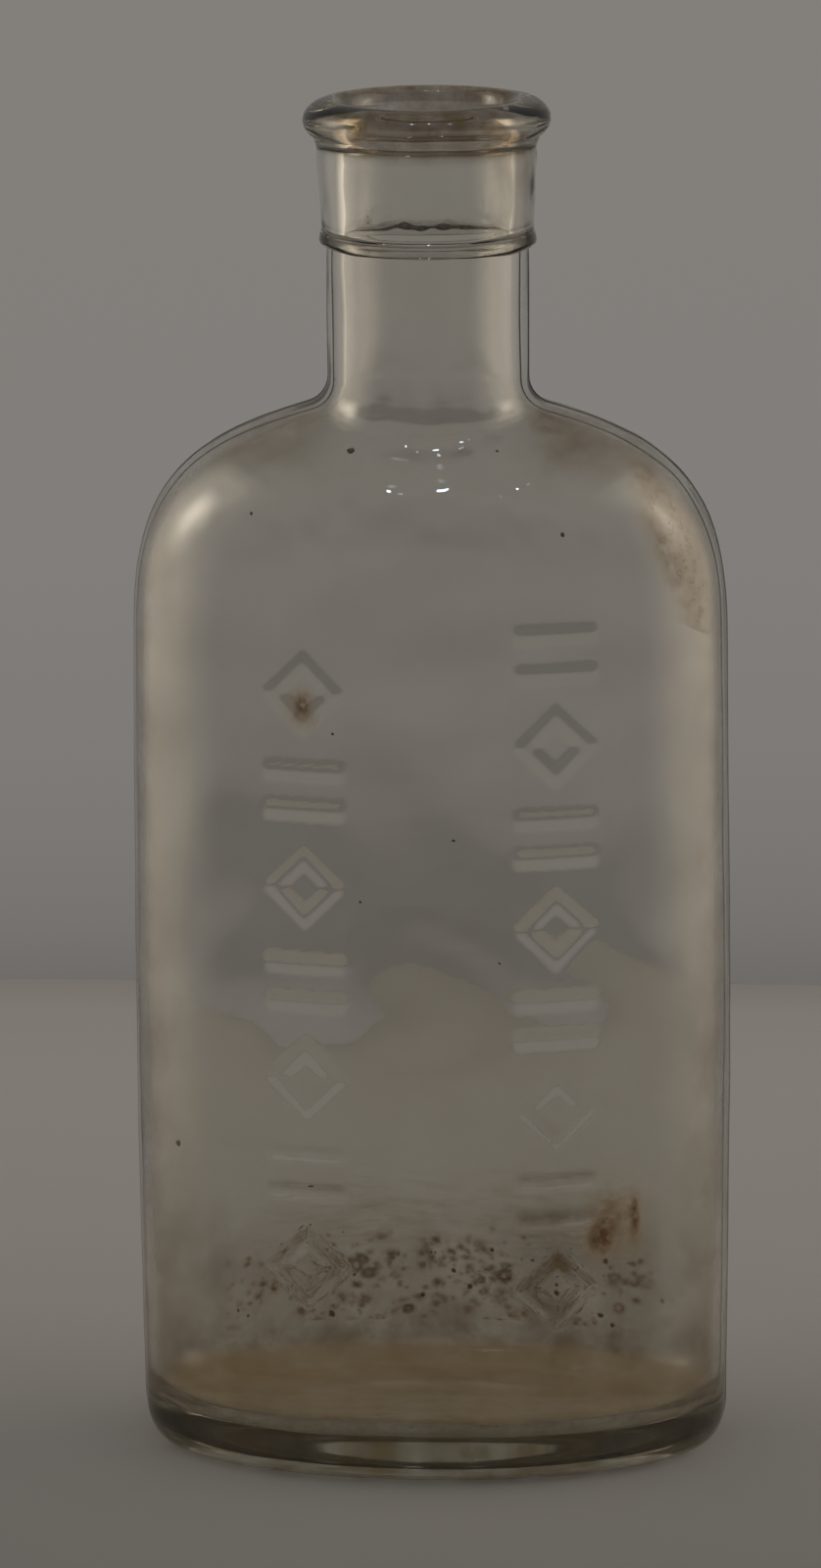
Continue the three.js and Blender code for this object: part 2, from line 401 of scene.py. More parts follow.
class MeshMaker:
    """Collects points and faces, in millimetres, and makes one object of them."""

    def __init__(self) -> None:
        """Starts empty."""
        self.points: list[np.ndarray] = []
        self.faces: list[np.ndarray] = []
        self.count = 0

    def add_points(self, points: np.ndarray) -> int:
        """Adds points.

        Args:
            points: Any array with x, y and z last.

        Returns:
            The number of the first.
        """
        first = self.count
        flat = points.reshape(-1, 3)
        self.points.append(flat)
        self.count += len(flat)
        return first

    def add_loft(self, grid: Grid, poles: tuple | None = None, loop: bool = False) -> None:
        """Adds rings joined by quads.

        Args:
            grid: The rings, with their outside on the right of the way the rows run.
            poles: Points that close the first and the last ring, if it is a solid.
            loop: Whether the last ring joins the first, as on a solid ring.
        """
        rows, columns = grid.shape[:2]
        first = self.add_points(grid)
        here = np.arange(columns)
        after = (here + 1) % columns
        for row in range(rows if loop else rows - 1):
            a, b = first + row * columns, first + (row + 1) % rows * columns
            self.faces.append(np.stack((a + here, a + after, b + after, b + here), 1))
        if poles is not None:
            low, high = self.add_points(np.array(poles[0])), self.add_points(np.array(poles[1]))
            last = first + (rows - 1) * columns
            self.faces.append(np.stack((np.full(columns, low), first + after, first + here), 1))
            self.faces.append(np.stack((np.full(columns, high), last + here, last + after), 1))

    def add_slab(self, outer: Grid, inner: Grid) -> None:
        """Adds a thin closed slab between two open grids.

        Args:
            outer: The face seen from outside the bottle, its columns anticlockwise and its rows up.
            inner: The face towards the middle, point for point.
        """
        rows, columns = outer.shape[:2]
        first, second = self.add_points(outer), self.add_points(inner)
        at = np.arange(rows * columns).reshape(rows, columns)
        a, b, c, d = at[:-1, :-1], at[:-1, 1:], at[1:, 1:], at[1:, :-1]
        quads = np.stack((a, b, c, d), -1).reshape(-1, 4)
        self.faces += [first + quads, second + quads[:, ::-1]]
        rim = np.concatenate((at[0], at[1:, -1], at[-1, -2::-1], at[-2:0:-1, 0]))
        after = np.roll(rim, -1)
        self.faces.append(np.stack((first + after, first + rim, second + rim, second + after), 1))

    def make(self, name: str) -> bpy.types.Object:
        """Makes the object.

        Args:
            name: Its name.

        Returns:
            The object, with smooth faces.
        """
        mesh = bpy.data.meshes.new(name)
        points = np.concatenate(self.points) * MM
        faces = [face for part in self.faces for face in part.tolist()]
        mesh.from_pydata(points.tolist(), [], faces)
        mesh.shade_smooth()
        mesh.update()
        return new_object(name, mesh)


def set_amount(made: bpy.types.Object, name: str, values: np.ndarray) -> None:
    """Stores one number for each point, for its material to read.

    Args:
        made: The object.
        name: The attribute's name.
        values: The numbers, in the order of the points.
    """
    attribute = made.data.attributes.new(name, "FLOAT", "POINT")
    attribute.data.foreach_set("value", values.astype(np.float32).ravel())


# ---------------------------------------------------------------- finishes


@dataclass(frozen=True)
class BottleGlass:
    """Soda-lime glass, blown and fire-polished: clear and shiny, and olive where it is seen edge-on.

    Iron in the sand gives the tint. The inside is faintly etched by what it held, so it mirrors softly, and
    brown grime lies in places, which browns what is seen through it and dulls the shine. The same amount
    also carries painted shade: browner and darker at the narrow sides and along the lip's fold. A crust dried
    onto the floor and the scuffed base scatters light, so the thick heel glows brown and isn't a dark mirror.
    Light from the lamps goes straight on through the glass, so that what lies in and under it is lit.
    """

    name: str = "soda_lime_glass_blown"
    refraction: float = 1.52
    tint: str = "d3d6c8"  # what is left of white light after its full depth
    depth_mm: float = 42.0
    clean: str = "f5f4f0"
    # colour of the grime, and of the painted shade at the narrow sides and along the lip's fold
    grime_and_shade: str = "866c45"
    polish: float = 0.02
    etched: float = 0.13  # roughness inside
    dull: float = 0.1
    cloud_mm: tuple[float, float, float] = (6, 6, 6)  # patches of grime and crust
    smear_mm: tuple[float, float, float] = (9, 9, 22)  # streaks in the etching
    skin_mm: float = 3.2  # unevenness of the surface, and its height
    skin_height_mm: float = 0.012

    def build(self) -> bpy.types.Material:
        """Makes the material.

        Returns:
            The material.
        """
        material, tree = new_material(self.name)
        cloud = noise(tree, self.cloud_mm, 7.0, 0.68)
        patchy = add_node(
            tree, "MapRange", {"Value": cloud, "From Min": 0.3, "From Max": 0.7, "To Max": 1.3},
        ).outputs[0]
        amount = combine(tree, "MULTIPLY", patchy, stored(tree, "grime_and_shade"), clamp=True)
        colour = set_ramp(add_node(tree, "ValToRGB", {"Fac": amount}), ((0.0, self.clean), (1.0, self.grime_and_shade)))
        smear = noise(tree, self.smear_mm, 3.0)
        etched = combine(tree, "MULTIPLY", stored(tree, "inside"), smear)
        rough = combine(tree, "MULTIPLY_ADD", etched, 2 * self.etched, self.polish)
        rough = combine(tree, "MULTIPLY_ADD", amount, self.dull, rough)
        skin = noise(tree, (self.skin_mm,) * 3, 2.0)
        high = self.skin_height_mm * MM
        bump = add_node(tree, "Bump", {"Height": skin, "Strength": 0.35, "Distance": high})
        hidden = combine(tree, "MULTIPLY", stored(tree, "crust"), patchy, clamp=True)
        clear = combine(tree, "SUBTRACT", 1.0, hidden)
        glass = add_node(
            tree, "BsdfPrincipled",
            {"Base Color": colour, "Roughness": rough, "Normal": bump.outputs["Normal"],
             "IOR": self.refraction, "Transmission Weight": clear},
        )
        loss = [-math.log(max(c, 1e-3)) for c in linear(self.tint)[:3]]
        most = max(loss)
        depth = add_node(
            tree, "VolumeAbsorption",
            {"Color": (*(1 - k / most for k in loss), 1.0), "Density": most / (self.depth_mm * MM)},
        )
        lit = add_node(tree, "BsdfTransparent", {"Color": linear(self.clean)})
        ray = add_node(tree, "LightPath").outputs["Is Shadow Ray"]
        surface = add_node(tree, "MixShader", {0: ray, 1: glass.outputs[0], 2: lit.outputs[0]})
        add_node(tree, "OutputMaterial", {"Surface": surface.outputs[0], "Volume": depth.outputs[0]})
        return material


@dataclass(frozen=True)
class DriedDeposit:
    """What dried out of the medicine: matt, patchy and partly see-through, thicker where it gathered."""

    name: str
    pale: str
    dark: str
    grain_mm: tuple[float, float, float]
    cover: float = 1.0
    bare: float = 0.42  # noise below this leaves clean glass
    full: float = 0.72
    detail: float = 6.0

    def build(self) -> bpy.types.Material:
        """Makes the material.

        Returns:
            The material.
        """
        material, tree = new_material(self.name)
        grain = noise(tree, self.grain_mm, self.detail, 0.7)
        mask = add_node(
            tree, "MapRange",
            {"Value": grain, "From Min": self.bare, "From Max": self.full, "To Max": self.cover},
        ).outputs[0]
        alpha = combine(tree, "MULTIPLY", stored(tree, "amount"), mask, clamp=True)
        colour = set_ramp(add_node(tree, "ValToRGB", {"Fac": alpha}), ((0.0, self.pale), (0.8, self.dark)))
        crust = add_node(tree, "Bump", {"Height": grain, "Strength": 0.5, "Distance": 0.1 * MM})
        matt = add_node(
            tree, "BsdfPrincipled",
            {"Base Color": colour, "Roughness": 0.85, "Alpha": alpha, "Normal": crust.outputs["Normal"]},
        )
        add_node(tree, "OutputMaterial", {"Surface": matt.outputs[0]})
        return material


@dataclass(frozen=True)
class Crumb:
    """Grains of dried scale and rust: opaque, matt and dark, a little uneven in colour."""

    name: str = "dried_crumb"
    pale: str = "6b5233"
    dark: str = "33271a"
    grain_mm: float = 0.4

    def build(self) -> bpy.types.Material:
        """Makes the material.

        Returns:
            The material.
        """
        material, tree = new_material(self.name)
        grain = noise(tree, (self.grain_mm,) * 3, 4.0)
        colour = set_ramp(add_node(tree, "ValToRGB", {"Fac": grain}), ((0.35, self.dark), (0.7, self.pale)))
        matt = add_node(tree, "BsdfPrincipled", {"Base Color": colour, "Roughness": 0.9})
        add_node(tree, "OutputMaterial", {"Surface": matt.outputs[0]})
        return material


@dataclass(frozen=True)
class StageSheet:
    """Pale background paper, matt, with shade painted softly along one of its axes."""

    name: str
    axis: str
    stops: tuple[tuple[float, str], ...]  # place along the axis in metres, and colour

    def build(self) -> bpy.types.Material:
        """Makes the material.

        Returns:
            The material.
        """
        material, tree = new_material(self.name)
        place = add_node(tree, "TexCoord").outputs["Object"]
        along = add_node(tree, "SeparateXYZ", {0: place}).outputs[self.axis]
        low, high = self.stops[0][0], self.stops[-1][0]
        share = add_node(tree, "MapRange", {"Value": along, "From Min": low, "From Max": high}).outputs[0]
        ramp = add_node(tree, "ValToRGB", {"Fac": share})
        colour = set_ramp(ramp, [((at - low) / (high - low), tone) for at, tone in self.stops])
        ramp.color_ramp.interpolation = "B_SPLINE"
        paper = add_node(tree, "BsdfPrincipled", {"Base Color": colour, "Roughness": 0.9})
        add_node(tree, "OutputMaterial", {"Surface": paper.outputs[0]})
        return material


@dataclass(frozen=True)
class SoftboxCloth:
    """A lit diffusion cloth, even in the middle and fading at its edges, so its mirror image is soft."""

    name: str
    colour: str
    strength: float
    size: tuple[float, float]
    fade: tuple[float, float]

    def build(self) -> bpy.types.Material:
        """Makes the material.

        Returns:
            The material.
        """
        material, tree = new_material(self.name)
        place = add_node(tree, "SeparateXYZ", {0: add_node(tree, "TexCoord").outputs["Object"]})
        falls = []
        for axis, length, fade in zip("XY", self.size, self.fade):
            far = combine(tree, "ABSOLUTE", place.outputs[axis])
            falls.append(add_node(
                tree, "MapRange", {"Value": far, "From Min": length / 2, "From Max": length / 2 - fade},
                interpolation_type="SMOOTHSTEP",
            ).outputs[0])
        both = combine(tree, "MULTIPLY", *falls)
        glow = add_node(tree, "Emission", {"Color": linear(self.colour), "Strength": self.strength})
        nothing = add_node(tree, "BsdfTransparent")
        cloth = add_node(tree, "MixShader", {0: both, 1: nothing.outputs[0], 2: glow.outputs[0]})
        add_node(tree, "OutputMaterial", {"Surface": cloth.outputs[0]})
        return material


# ---------------------------------------------------------------- the blown form


@dataclass
class BlownForm:
    """The inside and outside surfaces of the blown body, which every other piece is fitted to."""

    bulge: float = 0.34  # the walls swell this much between heel and shoulder
    facet_share: float = 0.951  # share of the swell that the frame's facets reach
    side_wall: float = 1.5
    face_wall: float = 2.2
    neck: float = 10.7
    bore: float = 8.85
    side_fillet: float = 3.0
    face_fillet: float = 7.0
    inner_pull: float = 0.96
    heel_height: float = 4.5
    heel_inset: float = 3.3
    rest_ring: float = 4.4
    kick_up: float = 0.8
    floor_height: float = 4.5
    floor_crown: float = 0.4
    floor_corner: float = 4.3
    ripple: float = 0.15  # unevenness of the inside, which bends what is seen through the walls
    band: float = 0.65  # the back wall is thicker by this much in a level band, which dips the horizon
    band_height: float = 51.0
    band_reach: float = 12.0
    lump: float = 0.5  # and by this much in a round lump
    lump_middle: tuple[float, float] = (-2.0, 45.0)
    lump_radius: float = 8.0

    def __post_init__(self) -> None:
        """Takes the overall sizes from the frame and works out the outlines."""
        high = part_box("bottle_body")[1]
        swell = self.facet_share * self.bulge
        self.width = high.x / MM - swell
        self.depth = high.y / MM - swell
        self.neck_end = high.z / MM
        self.inner_width = self.width - self.side_wall
        self.inner_depth = self.depth - self.face_wall
        self.side = Outline(
            self.width, start=90.6, top=115.9, slope=16.0, wall_pull=15.6, top_pull=14.6,
            neck=self.neck, fillet=self.side_fillet,
        )
        self.face = Outline(
            self.depth, start=103.2, top=112.2, slope=44.0, wall_pull=4.4, top_pull=3.0,
            neck=self.neck, fillet=self.face_fillet,
        )
        thinner = self.neck - self.bore
        self.in_side = self.side.inside(self.side_wall, thinner, self.inner_pull)
        self.in_face = self.face.inside(self.face_wall, thinner, self.inner_pull)
        self.floor_edge = self.floor_height + self.floor_corner
        self.neck_foot = self.side.sweep([1.0])[0, 1]

    def wall(
        self, width: float, depth: float, low: float, share: np.ndarray,
    ) -> tuple[Profile, Profile]:
        """Rings up a swelling wall.

        Args:
            width: Radius along X where it doesn't swell.
            depth: The same along Y.
            low: Height of its foot.
            share: From 0 at the foot to 1 at the shoulder.

        Returns:
            Side and face outlines.
        """
        swell = self.bulge * np.sin(math.pi * share)
        side = np.stack((width + swell, low + (self.side.start - low) * share), 1)
        face = np.stack((depth + swell, low + (self.face.start - low) * share), 1)
        return side, face

    def floor(self, share: np.ndarray) -> tuple[Profile, Profile]:
        """Rings out over the inner floor.

        Args:
            share: From 0 at its middle to 1 at its corner.

        Returns:
            Side and face outlines.
        """
        width, depth = self.inner_width - self.floor_corner, self.inner_depth - self.floor_corner
        return level(width * share, depth * share, self.floor_height + self.floor_crown * (1 - share**2))

    def corner(self, turn: np.ndarray) -> tuple[Profile, Profile]:
        """Rings round the inner corner from the floor up to the wall.

        Args:
            turn: Angles from 0 at the floor to a right angle at the wall.

        Returns:
            Side and face outlines.
        """
        inset = self.floor_corner * (1 - np.sin(turn))
        height = self.floor_height + self.floor_corner * (1 - np.cos(turn))
        return level(self.inner_width - inset, self.inner_depth - inset, height)

    def bend(self, side: Outline, face: Outline, steps: int) -> tuple[Profile, Profile]:
        """Rings up a shoulder and its fillet, without the first.

        Args:
            side: The outline along X.
            face: The outline along Y.
            steps: How many rings the shoulder has.

        Returns:
            Side and face outlines.
        """
        turn = even(0, 1, 1 / steps, (False, True))
        sweep = even(0, 1, 1 / 7, (False, True))
        return joined((side.shoulder(turn), face.shoulder(turn)), (side.sweep(sweep), face.sweep(sweep)))

    def uneven(self, points: np.ndarray) -> np.ndarray:
        """Works out how far in the inside stands from its true form: waves, a level band and a round lump.

        Args:
            points: Places on the inside, in millimetres.

        Returns:
            Distances, in millimetres.
        """
        x, z = points[..., 0], points[..., 2]
        slow = waves(points, 30, 11) + 0.35 * waves(points, 12, 12)
        middle_x, middle_z = self.lump_middle
        lump = 1 - smooth(0.7, 1.4, np.hypot(x - middle_x, z - middle_z) / self.lump_radius)
        band = self.band * np.exp(-(((z - self.band_height) / self.band_reach) ** 2))
        band *= 1 - smooth(14, 26, np.abs(x))
        dimples = 0.02 * waves(points, 4, 13) * smooth(98, 104, z) * (1 - smooth(117, 120, z))
        thick = band * (1 - lump) + self.lump * lump
        return self.ripple * slow + dimples + thick * (points[..., 1] > 0)

    def inside_wall(self, angles: np.ndarray, heights: np.ndarray, offset: float) -> Grid:
        """Points just inside the glass of the straight wall.

        Args:
            angles: Angles round the bottle, in degrees.
            heights: Heights, in millimetres.
            offset: Distance from the glass.

        Returns:
            The grid, heights first.
        """
        a = np.radians(angles)
        low = self.floor_edge
        rise = (self.side.start - low) * np.cos(a) ** 2 + (self.face.start - low) * np.sin(a) ** 2
        share = (heights[:, None] - low) / rise
        swell = self.bulge * np.sin(math.pi * np.clip(share, 0, 1))
        x = (self.inner_width + swell) * np.cos(a)
        y = (self.inner_depth + swell) * np.sin(a)
        grid = np.stack((x, y, np.broadcast_to(heights[:, None], x.shape)), -1)
        return self.settle(grid, offset)

    def inside_shoulder(self, angles: np.ndarray, shares: np.ndarray, offset: float) -> Grid:
        """Points just inside the glass of the shoulder.

        Args:
            angles: Angles round the bottle, in degrees.
            shares: From 0 at the wall to 1 at the fillet.
            offset: Distance from the glass, in millimetres.

        Returns:
            The grid, shares first.
        """
        grid = ring_grid(self.in_side.shoulder(shares), self.in_face.shoulder(shares), np.radians(angles))
        return self.settle(grid, offset)

    def spot(self, x: float, z: float, behind: bool) -> tuple[np.ndarray, np.ndarray]:
        """Finds a place on the inside of the glass, and the way from there into the hollow.

        Args:
            x: Its place along X.
            z: Its height.
            behind: Whether it is on the back rather than the front.

        Returns:
            The point and a unit vector.
        """
        wall = self.wall(self.inner_width, self.inner_depth, self.floor_edge, even(0, 0.995, 0.01))
        bend = even(0, 1, 0.02)
        side, face = joined(wall, (self.in_side.shoulder(bend), self.in_face.shoulder(bend)))
        angles = np.radians(np.arange(2, 179, 0.5) + (0 if behind else 180))
        grid = self.settle(ring_grid(side, face, angles), 0.0)
        near = np.hypot(grid[..., 0] - x, grid[..., 2] - z)
        row, column = np.unravel_index(near.argmin(), near.shape)
        row, column = min(max(row, 1), len(grid) - 2), min(max(column, 1), len(angles) - 2)
        across = grid[row, column + 1] - grid[row, column - 1]
        away = -np.cross(across, grid[row + 1, column] - grid[row - 1, column])
        return grid[row, column], away / np.linalg.norm(away)

    def settle(self, grid: Grid, offset: float) -> Grid:
        """Moves an inside patch onto the uneven glass and off it again.

        Args:
            grid: The patch on the true form.
            offset: How far off the glass it ends up, in millimetres.

        Returns:
            The moved grid.
        """
        normal = np.cross(np.gradient(grid, axis=1), np.gradient(grid, axis=0))
        normal /= np.linalg.norm(normal, axis=-1, keepdims=True)
        return grid - normal * (self.uneven(grid) + offset)[..., None]


# ---------------------------------------------------------------- pieces


@dataclass
class RaisedMarks:
    """Two columns of plain signs standing out of the front wall: lozenges and pairs of level bars."""

    width: float = 8.3
    height: float = 8.4
    stroke: float = 1.3
    relief: float = 0.23
    soft: float = 0.36  # half-width of the rounded edge of a stroke
    # x of a column's middle, height of its lowest sign, spacing and how many
    columns: tuple[tuple[float, float, float, int], ...] = ((14.1, 22.2, 9.94, 8), (-12.6, 24.5, 10.5, 7))

    def stroke_height(self, depth: np.ndarray) -> np.ndarray:
        """Works out the height over a stroke.

        Args:
            depth: Distances in from its outer edge, in millimetres.

        Returns:
            Heights from 0 to 1.
        """
        rise = smooth(-self.soft, self.soft, depth)
        return rise * (1 - smooth(self.stroke - self.soft, self.stroke + self.soft, depth))

    def heights(self, points: np.ndarray) -> np.ndarray:
        """How far the marks lift each point of the outside.

        Args:
            points: Places on the outside, in millimetres.

        Returns:
            Heights, in millimetres.
        """
        x, z = points[..., 0], points[..., 2]
        total = np.zeros(x.shape)
        half_width, half_height = self.width / 2, self.height / 2
        slant = half_width * half_height / math.hypot(half_width, half_height)
        for middle, lowest, pitch, count in self.columns:
            for i in range(count):
                u, v = np.abs(x - middle), np.abs(z - lowest - i * pitch)
                if i % 2 == 0:
                    lift = self.stroke_height((1 - u / half_width - v / half_height) * slant)
                else:
                    lift = self.stroke_height(v - half_height / 2 + self.stroke / 2)
                    lift *= smooth(-self.soft, self.soft, half_width - u)
                total = np.maximum(total, lift)
        return self.relief * total * (points[..., 1] < 0)

    def columns_at(self, radius: float) -> list[tuple[float, float]]:
        """Finds where round the front each column lies.

        Args:
            radius: Half-width of the front.

        Returns:
            First and last angle of each column, in radians.
        """
        spans = []
        for middle, *_ in self.columns:
            reach = self.width / 2 + 0.6
            low, high = (2 * math.pi - math.acos((middle + way * reach) / radius) for way in (-1, 1))
            spans.append((low, high))
        return sorted(spans)


@dataclass
class BlownBody:
    """The mould-blown body: clear, thick-walled, flat-oval, with a pushed-in base and two mould seams."""

    form: BlownForm
    marks: RaisedMarks
    name: str = "blown_body"
    seam_height: float = 0.13
    seam_width: float = 0.3
    fine: float = 0.45
    coarse: float = 2.2  # degrees

    def angles(self) -> np.ndarray:
        """Spaces the columns of points, closer at the marks and the seams.

        Returns:
            Angles, in radians.
        """
        stops: list[float] = []
        seam = math.degrees(1.1 / self.form.depth)
        spans = [(0.0, seam, 0.7), (180 - seam, 180 + seam, 0.7), (360 - seam, 360.0, 0.7)]
        for low, high in self.marks.columns_at(self.form.width):
            spans.append((math.degrees(low), math.degrees(high), 0.62))
        spans.sort()
        at = 0.0
        for low, high, step in spans:
            if low > at:
                stops.extend(even(at, low, self.coarse, (True, False)))
            stops.extend(even(low, high, step, (True, False)))
            at = high
        return np.radians(np.array(stops))

    def outer_rows(self) -> tuple[Profile, Profile]:
        """Runs from the middle of the base up to the cut end of the neck.

        Returns:
            Side and face outlines.
        """
        f = self.form
        rest_side, rest_face = f.width - f.heel_inset, f.depth - f.heel_inset
        push = even(0.12, 1, 0.14)
        dome_side, dome_face = (rest_side - f.rest_ring) * push, (rest_face - f.rest_ring) * push
        dome = level(dome_side, dome_face, f.kick_up * (1 - push**2) ** 1.3)
        turn = even(0, math.pi / 2, math.pi / 18)
        out = f.heel_inset * np.sin(turn)
        heel = level(rest_side + out, rest_face + out, f.heel_height * (1 - np.cos(turn)))
        rise = f.face.start - f.heel_height
        wall = f.wall(f.width, f.depth, f.heel_height, even(0, 1, self.fine / rise, (False, True)))
        neck = even(f.neck_foot, f.neck_end - 0.35, 2.2, (False, True))
        radii = f.neck - np.array((0, 0.1, 0.35))
        cut = level(radii, radii, f.neck_end - np.array((0.15, 0.04, 0)))
        return joined(dome, heel, wall, f.bend(f.side, f.face, 34), level(f.neck, f.neck, neck), cut)

    def inner_rows(self) -> tuple[Profile, Profile]:
        """Runs from the cut end of the neck down to the floor.

        Returns:
            Side and face outlines.
        """
        f = self.form
        corner = f.corner(even(0, math.pi / 2, math.pi / 18))
        wall = f.wall(f.inner_width, f.inner_depth, f.floor_edge, even(0, 1, 1 / 46, (False, True)))
        neck = even(f.neck_foot, f.neck_end - 0.9, 2.2, (False, True))
        radii = f.bore + np.array((0, 0.05, 0.2, 0.5))
        edge = level(radii, radii, f.neck_end - np.array((0.4, 0.15, 0.03, 0)))
        side, face = joined(corner, wall, f.bend(f.in_side, f.in_face, 26), level(f.bore, f.bore, neck), edge)
        side, face = joined(f.floor(even(0.12, 1, 0.12)[:-1]), (side, face))
        return side[::-1], face[::-1]

    def build(self) -> bpy.types.Object:
        """Makes the glass, moved off its true form as blown glass is.

        Returns:
            The body.
        """
        f = self.form
        angles = self.angles()
        outer = ring_grid(*self.outer_rows(), angles)
        inner = ring_grid(*self.inner_rows(), angles)
        off_seam = np.abs(outer[..., 1]) / self.seam_width
        seam = self.seam_height * np.exp(-(off_seam**2)) * smooth(2, 5, outer[..., 2])
        below_lap = 1 - smooth(f.neck_end - 2.4, f.neck_end - 1.6, outer[..., 2])
        neck_foot = smooth(100, 106, outer[..., 2]) * (1 - smooth(118, 122, outer[..., 2]))
        lift = 0.05 * waves(outer, 24, 5) + 0.02 * waves(outer, 8, 6)
        lift = lift + 0.03 * waves(outer, 3.6, 7) * neck_foot
        lift += self.marks.heights(outer) + seam
        lift *= below_lap * smooth(-0.1, 1.5, outer[..., 2])
        outer += outward(outer) * lift[..., None]
        calm = 1 - smooth(f.neck_end - 2.5, f.neck_end - 1.0, inner[..., 2])
        inner += outward(inner) * (f.uneven(inner) * calm)[..., None]
        grid = np.concatenate((outer, inner))
        maker = MeshMaker()
        maker.add_loft(grid, poles=((0, 0, f.kick_up), (0, 0, f.floor_height + f.floor_crown)))
        made = maker.make(self.name)
        points = np.concatenate((grid.reshape(-1, 3), [(0, 0, 0), (0, 0, 0)]))
        within = np.append(np.repeat((0.0, 1.0), (outer[..., 0].size, inner[..., 0].size)), (0.0, 1.0))
        strokes = self.marks.heights(points) / self.marks.relief * (1 - within)
        set_amount(made, "grime_and_shade", self.grime_and_shade(points, strokes, within))
        set_amount(made, "inside", within * smooth(20, 28, np.abs(points[:, 0])))
        crusted = 0.4 * within * (1 - smooth(f.floor_height + 1.5, f.floor_height + 4, points[:, 2]))
        scuffed = 0.55 * (1 - within) * (1 - smooth(0.7, 1.6, points[:, 2]))
        x, z = np.abs(points[:, 0]), points[:, 2]
        filmed = 0.22 * smooth(104, 112, z) * (1 - smooth(116, 120, z)) * smooth(8, 16, x)
        filmed += 0.1 * smooth(26, 30, x)
        set_amount(made, "crust", crusted + scuffed + filmed * within)
        return made

    def grime_and_shade(self, points: np.ndarray, strokes: np.ndarray, within: np.ndarray) -> np.ndarray:
        """How much brown grime clings, in the lowest marks, at the heel and over the shoulders, and how much
        painted shade darkens the narrow sides.

        Args:
            points: Places on the glass, in millimetres.
            strokes: From 0 to 1 on the strokes of the marks.
            within: 1 on the inside of the glass.

        Returns:
            Amounts from 0 to 1.
        """
        x, y, z = points.T
        right, left = around(14, 25, 6, 10)(points), around(-12, 24, 5, 5)(points)
        marked = (right + 0.3 * left) * (0.25 + 0.9 * strokes) * (y < -12)
        heel = 0.6 * (1 - smooth(2, 14, z))
        crown = 0.55 * smooth(106, 114, z) * (1 - smooth(117, 121, z)) * smooth(8, 15, np.abs(x))
        middle, _ = self.form.spot(11.9, 115.4, False)
        far = ((x - middle[0]) / 2.3) ** 2 + ((z - middle[2]) / 1.2) ** 2
        blot = np.exp(-(far**2)) * within * (y < 0)
        # Painted shade: browner and darker towards the narrow sides, where the glass is seen edge-on.
        sides = 0.3 * smooth(25, 31, np.abs(x))
        foot = 0.4 * (1 - smooth(15, 26, z)) * (y > 0)
        return np.clip(0.04 + marked + heel + crown + blot + sides + foot, 0, 1)


